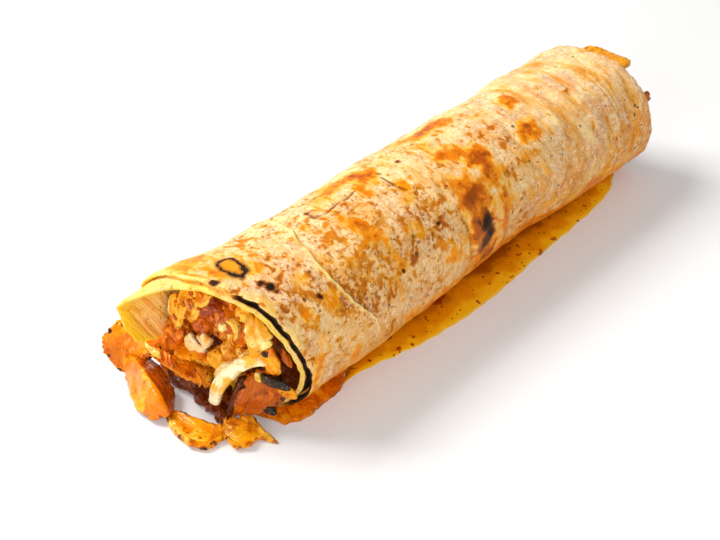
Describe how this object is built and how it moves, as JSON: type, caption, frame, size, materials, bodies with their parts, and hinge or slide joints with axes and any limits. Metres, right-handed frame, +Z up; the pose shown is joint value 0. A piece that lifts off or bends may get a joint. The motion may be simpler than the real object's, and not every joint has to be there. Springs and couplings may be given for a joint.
{
  "type": "gyro wrap",
  "caption": "Thin flatbread rolled in a spiral round a filling of sliced, sauced chicken, open at both ends, with slices spilling from the mouth and a free bread tail under one side.",
  "frame": {"origin": "on the floor under the middle of the roll, on the flat strip that the roll rests on", "axes": "+X along the roll from the open mouth with the spilling slices to the far end, +Y to the side away from the free bread tail, +Z up"},
  "size_m": [0.256, 0.0756, 0.0567],
  "materials": {
    "bread": "soft, dry to oily baked flatbread: cream with toasted orange-brown spots, burnt rings and a charred rim",
    "filling": "wet, sauced chopped meat seen deep in the ends",
    "sauced_meat": "orange, oily sauce over fibrous chicken",
    "brown_meat": "browned, roasted outer slices with dark glossy edges",
    "pale_meat": "pale cream chicken fibre with an orange glaze at the edges"
  },
  "bodies": {
    "root": {"flatbread": "bread", "filling": "filling", "slice_left": "sauced_meat", "slice_folded": "sauced_meat", "slice_front": "sauced_meat", "slice_frilled": "sauced_meat", "strand": "pale_meat", "slice_large": "brown_meat", "slice_ridged_low": "brown_meat", "slice_ridged_top": "sauced_meat", "slice_jagged": "pale_meat", "slice_charred": "brown_meat", "slice_side": "brown_meat", "slice_mid": "sauced_meat", "slice_under": "sauced_meat", "slice_far_top": "sauced_meat", "slice_far_side": "brown_meat", "slice_far_low": "sauced_meat", "chunk_top": "sauced_meat", "chunk_brown": "brown_meat", "chunk_pale": "pale_meat", "chunk_middle": "brown_meat", "chunk_curl": "pale_meat", "chunk_far": "brown_meat"}
  },
  "joints": []
}
